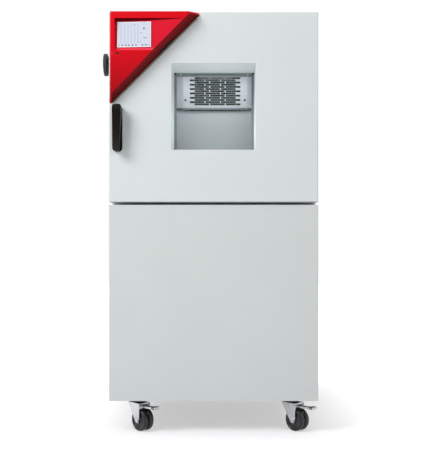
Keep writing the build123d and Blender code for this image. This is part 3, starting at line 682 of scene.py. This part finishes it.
class CHAMBER_OT_interior(ChamberOperator):
    """Finish the chamber space behind the window"""
    bl_idname = "chamber.interior"
    bl_label = "Interior"

    def execute(self, context):
        steel = brushed_stainless("brushed_stainless", colours().steel)
        dress(steel, "chamber_liner", "lower_wall_panel", "shelf_rails",
              "temperature_probe", "wire_shelf", "heater_coil")
        dress(cut_stainless(colours().steel), "fan_cover")
        dress(cast_aluminium(), "evaporator_coil", "fan_motor")
        dress(moulded_plastic("dark_moulded_blades", linear("#241F20"), 0.5),
              "circulation_fan")
        soften(0, "chamber_liner", "wire_shelf", "temperature_probe", "circulation_fan",
               "fan_motor", "heater_coil")
        self.cover_screws()
        self.cover_wings()
        self.air_guide_shade()
        return {"FINISHED"}

    def air_guide_shade(self):
        """Dark plates behind the slotted cover, cut out round the fan's inlet: painted shade
        that keeps the slots dark.
        """
        low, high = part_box("fan_cover")
        y = low.y + 6 * MM
        half, bottom, top = 88 * MM, low.z + 13 * MM, high.z - 6 * MM
        inlet, centre = 74 * MM, high.z - 15 * MM
        steps = 32
        turns = [math.pi * (1 + step / steps) for step in range(steps + 1)]

        def plate(bm):
            inner = [(inlet * math.cos(a), centre + inlet * math.sin(a)) for a in turns]
            outer = []
            for a in turns:
                far = min(half / max(abs(math.cos(a)), 1e-6),
                          (centre - bottom) / max(-math.sin(a), 1e-6))
                outer.append((far * math.cos(a), centre + far * math.sin(a)))
            inner = [(-inlet, top), *inner, (inlet, top)]
            outer = [(-half, top), *outer, (half, top)]
            made = [[bm.verts.new((x, y, z)) for x, z in line] for line in (inner, outer)]
            for i in range(1, len(inner)):
                bm.faces.new((made[0][i - 1], made[0][i], made[1][i], made[1][i - 1]))
        guide = moulded_plastic("painted_shade_guide_plastic", linear("#3A3C3E"), 0.5)
        made = piece("air_guide_shade", plate, guide, "cabinet")
        made.modifiers.new("thickness", "SOLIDIFY").thickness = 1.5 * MM

        def back(bm):
            # A square hole lets the fan's shaft through, 60.6 mm above the blades' foot.
            shaft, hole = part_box("circulation_fan")[0].z + 60.6 * MM, 20 * MM
            wide, rear = 110 * MM, high.y - 3 * MM
            corners = [(1, 1), (-1, 1), (-1, -1), (1, -1)]
            inner = [bm.verts.new((hole * side, rear, shaft + hole * up))
                     for side, up in corners]
            outer = [bm.verts.new((wide * side, rear, top if up > 0 else bottom))
                     for side, up in corners]
            for i in range(4):
                bm.faces.new((inner[i - 1], inner[i], outer[i], outer[i - 1]))
        made = piece("fan_back_shade_plate", back, edge_rubber(), "cabinet")
        made.modifiers.new("thickness", "SOLIDIFY").thickness = 1 * MM

        def ends(bm):
            for side in (-1, 1):
                x0, x1 = sorted((side * (half + 1 * MM), side * (half + 26 * MM)))
                slab(bm, (x0, y + 5 * MM, bottom), (x1, y + 6.5 * MM, top))
        piece("air_guide_shade_ends", ends, edge_rubber(), "cabinet")

        def rim(bm):
            rings, sides, wide, deep = [], 10, 4 * MM, 2.5 * MM
            for a in turns:
                out = Vector((math.cos(a), 0, math.sin(a)))
                middle = Vector((0, y, centre)) + out * (inlet + 2 * MM)
                rings.append([bm.verts.new(middle + out * (wide * math.cos(t))
                                           + Vector((0, deep * math.sin(t), 0)))
                              for t in (2 * math.pi * i / sides for i in range(sides))])
            for a, b in zip(rings, rings[1:]):
                for i in range(sides):
                    bm.faces.new((a[i - 1], a[i], b[i], b[i - 1]))
            bm.faces.new(rings[0])
            bm.faces.new(rings[-1][::-1])
        smooth(piece("air_guide_shade_rim", rim, edge_rubber(), "cabinet"))

    def cover_wings(self):
        """Folded sheets that fill the corners beside the cover, almost level with it."""
        low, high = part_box("fan_cover")
        flat_end = 134 * MM

        def build(bm):
            for side in (-1, 1):
                near, far = side * flat_end, side * (high.x - 0.5 * MM)
                rows = ((high.z - 1 * MM, low.y + 0.6 * MM, low.y + 6 * MM),
                        (low.z + 7 * MM, low.y + 0.6 * MM, low.y + 6 * MM),
                        (low.z + 0.5 * MM, low.y + 28 * MM, low.y + 29 * MM))
                pairs = [(bm.verts.new((near, y0, z)), bm.verts.new((far, y1, z)))
                         for z, y0, y1 in rows]
                for a, b in zip(pairs, pairs[1:]):
                    bm.faces.new((a[0], a[1], b[1], b[0]))
        made = piece("cover_wings", build, brushed_stainless("brushed_stainless",
                                                             colours().steel),
                     "cabinet")
        made.modifiers.new("thickness", "SOLIDIFY").thickness = 1 * MM

    def cover_screws(self):
        """Dark screws that hold the fan cover."""
        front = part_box("fan_cover")[0].y
        from_middle, z = 124 * MM, 1276 * MM

        def build(bm):
            for x in (-from_middle, from_middle):
                dome(bm, 4.5 * MM, 2.5 * MM, facing((x, front, z), (0, -1, 0)))
        piece("fan_cover_screws", build, rubber("blackened_screw", linear("#202224")),
              "cabinet")


class CHAMBER_OT_controller(ChamberOperator):
    """Finish the red controller housing and light its screen"""
    bl_idname = "chamber.controller"
    bl_label = "Controller"

    def execute(self, context):
        dress(red_abs_painted_light(), "controller_housing")
        dress(moulded_plastic("dark_lens", linear("#120204"), 0.2, 0.15), "indicator_lens")
        dress(rubber("pale_silicone_seal", linear("#D9CFB4")), "controller_gasket")
        dress(moulded_plastic("green_circuit_board", linear("#123322"), 0.5),
              "controller_board")
        dress(lit_screen("white_screen_bezel", linear("#EEF1F6"), 0.02), "display_panel")
        soften(sizes().moulded_edge, "controller_housing")
        soften(0, "indicator_lens")
        self.shadow_strip()
        self.screen()
        return {"FINISHED"}

    def shadow_strip(self):
        """Dark strip on the door along the housing's slanted side: a painted shadow under the
        housing's edge.
        """
        low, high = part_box("controller_housing")

        def build(bm):
            along = Vector((1, 0, 1)).normalized()
            down = Vector((1, 0, -1)).normalized()
            start = Vector((low.x + 12 * MM, FRONT, low.x + 12 * MM - BAND_OUTER))
            end = Vector((high.x - 10 * MM, FRONT, high.x - 10 * MM - BAND_OUTER))
            turn = Matrix((along, (0, -1, 0), down)).transposed().to_4x4()
            slab(bm, (0, -0.3 * MM, 0.3 * MM), ((end - start).length, 1.2 * MM, 4 * MM),
                 Matrix.Translation(start) @ turn)
        made = piece("housing_shadow_strip", build, rubber("painted_shadow_rubber",
                                                         linear("#333B36")),
                     "door")
        rounded_by(made, 0.5 * MM)

    def screen(self):
        """The lit field, its faint columns and small generic marks."""
        low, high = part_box("display_panel")
        # The screen slopes back towards the top left, as its pocket does.
        slope = POCKET_DEPTH / POCKET_WIDTH

        def on_screen(x, z, lift):
            y = low.y + slope * ((z - low.z) - (x - high.x))
            return Vector((x, y - lift * MM, z))

        def tile(bm, x0, x1, z0, z1, lift, thick=0.25):
            corners = ((x0, z0), (x1, z0), (x1, z1), (x0, z1))
            front_face = [bm.verts.new(on_screen(x, z, lift + thick)) for x, z in corners]
            back_face = [bm.verts.new(on_screen(x, z, lift)) for x, z in corners]
            bm.faces.new(front_face)
            bm.faces.new(back_face[::-1])
            for i in range(4):
                bm.faces.new((front_face[i - 1], back_face[i - 1], back_face[i],
                              front_face[i]))

        width, height = high.x - low.x, high.z - low.z

        def at(u, v):
            """A place on the screen from fractions of its width and height."""
            return low.x + width * u, low.z + height * v

        def field(bm):
            (x0, z0), (x1, z1) = at(0.02, 0.025), at(0.98, 0.975)
            tile(bm, x0, x1, z0, z1, 0.0)

        def columns(bm):
            for number in range(6):
                (x0, z0), (x1, z1) = at(0.1 + 0.1 * number, 0.14), at(0.14 + 0.1 * number, 0.9)
                tile(bm, x0, x1, z0, z1, 0.25, 0.1)

        def spots(places):
            def build(bm):
                for u, v, wide, high_part in places:
                    (x0, z0), (x1, z1) = (at(u - wide / 2, v - high_part / 2),
                                          at(u + wide / 2, v + high_part / 2))
                    tile(bm, x0, x1, z0, z1, 0.25, 0.15)
            return build
        keys = [(u, 0.08, 0.04, 0.045) for u in (0.155, 0.258, 0.35, 0.454, 0.557, 0.753,
                                                 0.856)]
        dots = [(0.79, 0.735, 0.045, 0.055)]
        faint = [(0.062, 0.08, 0.02, 0.06), (0.948, 0.08, 0.02, 0.06),
                 (0.505, 0.892, 0.035, 0.03), (0.711, 0.554, 0.03, 0.04),
                 (0.835, 0.357, 0.11, 0.03), (0.619, 0.216, 0.015, 0.06),
                 (0.7, 0.216, 0.015, 0.06), (0.74, 0.96, 0.02, 0.03), (0.82, 0.96, 0.02, 0.03)]
        piece("screen_field", field, lit_screen("lit_screen", colours().screen_field, 0.05),
              "door")
        piece("screen_columns", columns, lit_screen("screen_columns",
              linear("#BAC3D4"), 0.04), "door")
        piece("screen_marks", spots(keys + dots),
              lit_screen("screen_marks", linear("#1E222B"), 0.01), "door")
        piece("screen_faint_marks", spots(faint),
              lit_screen("screen_faint_marks", linear("#7C8794"), 0.01), "door")


class CHAMBER_OT_handle(ChamberOperator):
    """Finish the pull handle"""
    bl_idname = "chamber.handle"
    bl_label = "Handle"

    def execute(self, context):
        dress(moulded_plastic("moulded_black_nylon", colours().handle_black, 0.3, 0.2),
              "handle_base", "handle_lever")
        soften(2 * sizes().moulded_edge, "handle_lever")
        soften(sizes().moulded_edge, "handle_base")
        return {"FINISHED"}


class CHAMBER_OT_port(ChamberOperator):
    """Finish the access port and its plug"""
    bl_idname = "chamber.port"
    bl_label = "Access port"

    def execute(self, context):
        dress(moulded_plastic("moulded_black_sleeve", linear("#15161A"), 0.4), "port_tube")
        dress(rubber("grey_silicone_plug", linear("#1B2221")), "port_plug")
        soften(0, "port_tube", "port_plug")
        return {"FINISHED"}


class CHAMBER_OT_castors(ChamberOperator):
    """Make the twin castor wheels and finish the forks"""
    bl_idname = "chamber.castors"
    bl_label = "Castors"

    def execute(self, context):
        dress(zinc_plate(), "castor_plates", *["castor_fork_" + c for c in CASTORS],
              "brake_pedal_front_left", "brake_pedal_front_right")
        soften(0, "castor_plates")
        for name in CASTORS:
            soften(0.5 * MM, "castor_fork_" + name)
            self.wheel(name)
            self.raceway_shade_ring(name)
        for name in CASTORS[:2]:
            soften(0.5 * MM, "brake_pedal_" + name)
            self.pedal_tip(name)
        return {"FINISHED"}

    def raceway_shade_ring(self, name):
        """Black ring round the raceway: a dark piece of painted shade under the top plate."""
        place = facing(joint("castor_swivel_" + name)["pos_m"], (0, 0, 1))
        ring = [(24.5, 1), (30, 1.4), (31.5, 4), (31.5, 9.4), (24.5, 9.8)]

        def build(bm):
            turned(bm, [(r * MM, z * MM) for r, z in ring], place, 48)
        made = piece("castor_raceway_shade_ring_" + name, build, edge_rubber(), "cabinet")
        rounded_by(made, 0.8 * MM)

    def pedal_tip(self, name):
        """Black ribbed sleeve on the end of the brake pedal."""
        press = joint("brake_press_" + name)
        across = Vector(press["axis"]).normalized()
        along = Vector((across.y, -across.x, 0))
        turn = Matrix((along, across, (0, 0, 1))).transposed().to_4x4()
        place = Matrix.Translation(press["pos_m"]) @ turn

        def build(bm):
            for start in (61, 68.5):
                slab(bm, (start * MM, -13 * MM, -4 * MM),
                     ((start + 5) * MM, 13 * MM, 5.2 * MM), place)
        made = piece("brake_pedal_sleeve_" + name, build, edge_rubber(), "pedal_" + name)
        rounded_by(made, 1.2 * MM)

    def wheel(self, name):
        """Two tyres on one hub, turned about the axle."""
        spin = joint("wheel_spin_" + name)
        place = facing(spin["pos_m"], spin["axis"])
        low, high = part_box("castor_wheel_" + name)
        radius = (high.z - low.z) / 2
        tyre = [(0.78, 20.5), (0.9, 21), (0.965, 19.5), (1, 16), (1, 8), (0.965, 4.2),
                (0.9, 2.2), (0.78, 2.0)]

        def tyres(bm):
            for side in (-1, 1):
                turned(bm, [(radius * r, side * w * MM) for r, w in tyre], place, 72)
        made = piece("castor_tyres_" + name, tyres,
                     moulded_plastic("moulded_tyre", colours().tyre_black, 0.28),
                     "wheel_" + name)
        smooth(made)
        hub = [(0.14, 20), (0.3, 20), (0.34, 17), (0.62, 15.5), (0.7, 19.5), (0.785, 20)]

        def hubs(bm):
            ring = [(radius * r, w * MM) for r, w in hub]
            ring += [(radius * 0.785, -20 * MM)]
            ring += [(radius * r, -w * MM) for r, w in hub[::-1][1:]]
            turned(bm, ring, place, 48)
        body = piece("castor_hub_" + name, hubs,
                     moulded_plastic("moulded_hub", linear("#2A2B2D"), 0.4),
                     "wheel_" + name)
        rounded_by(body, 0.5 * MM)
        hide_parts("castor_wheel_" + name)


class CHAMBER_OT_machinery(ChamberOperator):
    """Finish what is inside and behind the base"""
    bl_idname = "chamber.machinery"
    bl_label = "Machinery"

    def execute(self, context):
        dress(moulded_plastic("black_enamel", linear("#131416"), 0.25), "compressor",
              "receiver_and_drier")
        dress(cast_aluminium(), "condenser_coil")
        dress(galvanised_sheet(), "fan_shroud")
        dress(moulded_plastic("black_fan_plastic", linear("#18191A"), 0.4), "condenser_fan")
        dress(drawn_copper(), "refrigerant_pipes")
        dress(powder_coat("painted_box", linear("#C2C5C3")), "electrical_box")
        dress(moulded_plastic("black_socket", linear("#141414"), 0.45), "power_inlet",
              "switch_plate", "switch_knob")
        dress(moulded_plastic("grey_drain_plastic", linear("#C9CAC6"), 0.45), "drain_pipe")
        soften(0, "compressor", "receiver_and_drier", "condenser_fan", "refrigerant_pipes",
               "drain_pipe", "fan_shroud", "switch_plate", "switch_knob")
        return {"FINISHED"}


class CHAMBER_OT_stage(ChamberOperator):
    """Set the pale floor, the soft lights and the camera"""
    bl_idname = "chamber.stage"
    bl_label = "Stage"

    def execute(self, context):
        self.floor()
        self.world(context.scene)
        self.light("key_light", (-2.5, -2.3, 3.1), (0, -0.3, 0.9), 1.8, 117)
        self.light("fill_light", (2.4, -3.0, 2.6), (0, -0.3, 0.9), 1.6, 26)
        self.light("low_light", (0.3, -3.0, 0.3), (0, -0.3, 1.1), 1.2, 9)
        self.light("top_light", (0, 0.6, 3.4), (0, 0, 0), 2.0, 7)
        # A card on the window's ledge lights the top of its recess.
        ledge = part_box("window_seal")[0]
        self.light("ledge_card", (0, FRONT + 0.08, ledge.z + 4 * MM), (0, FRONT + 0.07, 1.3),
                   0.13, 0.32)
        self.chamber_lamps()
        self.camera(context.scene)
        return {"FINISHED"}

    def seen(self, tree):
        """One for rays that show the background: to the camera, off metal, through glass."""
        path = node(tree, "ShaderNodeLightPath")
        direct = node(tree, "ShaderNodeMath", {0: path.outputs["Is Camera Ray"],
                                               1: path.outputs["Is Transmission Ray"]},
                      operation="MAXIMUM")
        return direct.outputs[0], path.outputs["Is Glossy Ray"]

    def floor(self):
        """Pale floor that keeps the object's shadow and fades to white around it."""
        mesh = bpy.data.meshes.new("floor")
        bm = bmesh.new()
        bmesh.ops.create_grid(bm, x_segments=1, y_segments=1, size=12)
        bm.to_mesh(mesh)
        bm.free()
        floor = bpy.data.objects.new("floor", mesh)
        bpy.context.scene.collection.objects.link(floor)
        material, tree, shader = surface("pale_floor", linear("#C6C3C6"), 0.8)
        place = node(tree, "ShaderNodeTexCoord")
        # The shade lies under the base, 0.6 by 0.9 m, and fades out over 0.62 m round it.
        away = place.outputs["Object"]
        for operation, other in (("ABSOLUTE", (0, 0, 0)), ("SUBTRACT", (0.3, 0.45, 0)),
                                 ("MAXIMUM", (0, 0, 0))):
            away = node(tree, "ShaderNodeVectorMath", {0: away, 1: other},
                        operation=operation).outputs[0]
        away = node(tree, "ShaderNodeVectorMath", {0: away}, operation="LENGTH")
        glow = node(tree, "ShaderNodeMapRange", {"Value": away.outputs["Value"],
                                                 "From Max": 0.62, "To Min": 0.48},
                    interpolation_type="SMOOTHSTEP")
        direct, glossy = self.seen(tree)
        shown = node(tree, "ShaderNodeMath", {0: direct, 1: glossy}, operation="MAXIMUM")
        strength = node(tree, "ShaderNodeMath", {0: shown.outputs[0],
                                                 1: glow.outputs["Result"]},
                        operation="MULTIPLY")
        tree.links.new(strength.outputs[0], shader.inputs["Emission Strength"])
        shader.inputs["Emission Color"].default_value = (1, 1, 1, 1)
        mesh.materials.append(material)

    def world(self, scene):
        """Even pale surroundings, white when seen, with a dark room behind the camera."""
        world = bpy.data.worlds.new("studio")
        scene.world = world
        world.use_nodes = True
        tree = world.node_tree
        place = node(tree, "ShaderNodeTexCoord")
        split = node(tree, "ShaderNodeSeparateXYZ", {0: place.outputs["Generated"]})
        # Toward -Y lies the room behind the camera.
        studio = node(tree, "ShaderNodeMapRange", {"Value": split.outputs["Y"],
                                                   "From Min": -0.95, "From Max": -0.4})
        direct, glossy = self.seen(tree)
        top = node(tree, "ShaderNodeMapRange", {"Value": glossy, "To Min": 0.5, "To Max": 1.0})
        room = node(tree, "ShaderNodeMapRange", {"Value": studio.outputs["Result"],
                                                 "To Min": 0.06,
                                                 "To Max": top.outputs["Result"]})
        strength = node(tree, "ShaderNodeMath", {0: room.outputs["Result"], 1: direct},
                        operation="MAXIMUM")
        background = tree.nodes["Background"]
        background.inputs["Color"].default_value = (1, 1, 1, 1)
        tree.links.new(strength.outputs[0], background.inputs["Strength"])

    def light(self, name, place, target, size, power):
        """A square lamp aimed at a point."""
        aim = Vector(target) - Vector(place)
        self.lamp(name, place, aim.to_track_quat("-Z", "Y").to_euler(), (size, size), power)

    def lamp(self, name, place, turn, size, power):
        """An area lamp with a width and a height."""
        data = bpy.data.lights.new(name, "AREA")
        data.shape = "RECTANGLE"
        data.size, data.size_y = size
        data.energy = power
        lamp = bpy.data.objects.new(name, data)
        lamp.location = place
        lamp.rotation_euler = turn
        bpy.context.scene.collection.objects.link(lamp)
        return lamp

    def chamber_lamps(self):
        """The lamps inside the chamber: one above and a faint one before the window."""
        low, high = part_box("chamber_liner")
        middle = (low.z + high.z) / 2
        for name, place, tilt, size, power in (
                ("upper_chamber_lamp", (0, -0.08, high.z - 12 * MM), 15, (0.34, 0.2), 0.62),
                ("front_chamber_lamp", (0, -0.19, middle), 90, (0.36, 0.36), 0.24)):
            lamp = self.lamp(name, place, (math.radians(tilt), 0, 0), size, power)
            lamp.visible_camera = False

    def camera(self, scene):
        """Camera at the photograph's place: level, 2.8 m before the base and 0.65 m up."""
        data = bpy.data.cameras.new("camera")
        data.lens = 63.4
        data.sensor_width = 36
        data.shift_x = -0.0227
        data.shift_y = 0.0547
        camera = bpy.data.objects.new("camera", data)
        camera.location = (0.034, FRONT - 2.8, 0.65)
        camera.rotation_euler = (math.radians(90), 0, 0)
        scene.collection.objects.link(camera)
        scene.camera = camera
        scene.view_settings.view_transform = "Standard"


OPERATORS = (CHAMBER_OT_cabinet, CHAMBER_OT_door, CHAMBER_OT_window, CHAMBER_OT_interior,
             CHAMBER_OT_controller, CHAMBER_OT_handle, CHAMBER_OT_port, CHAMBER_OT_castors,
             CHAMBER_OT_machinery, CHAMBER_OT_stage)


class CHAMBER_PT_panel(bpy.types.Panel):
    """Sidebar panel of the test chamber"""
    bl_idname = "CHAMBER_PT_panel"
    bl_label = "Test Chamber"
    bl_space_type = "VIEW_3D"
    bl_region_type = "UI"
    bl_category = "Chamber"

    def draw(self, context):
        layout = self.layout
        for group in (context.scene.chamber_colours, context.scene.chamber_sizes):
            box = layout.box()
            for name in group.__annotations__:
                box.prop(group, name)
        for operator in OPERATORS:
            layout.operator(operator.bl_idname)


CLASSES = (ChamberColours, ChamberSizes, *OPERATORS, CHAMBER_PT_panel)


def register():
    """Adds the classes and the scene's properties."""
    for item in CLASSES:
        bpy.utils.register_class(item)
    bpy.types.Scene.chamber_colours = bpy.props.PointerProperty(type=ChamberColours)
    bpy.types.Scene.chamber_sizes = bpy.props.PointerProperty(type=ChamberSizes)


def unregister():
    """Takes them out again."""
    del bpy.types.Scene.chamber_sizes
    del bpy.types.Scene.chamber_colours
    for item in reversed(CLASSES):
        bpy.utils.unregister_class(item)


def main():
    register()
    for operator in OPERATORS:
        family, name = operator.bl_idname.split(".")
        getattr(getattr(bpy.ops, family), name)()


if __name__ == "__main__":
    main()
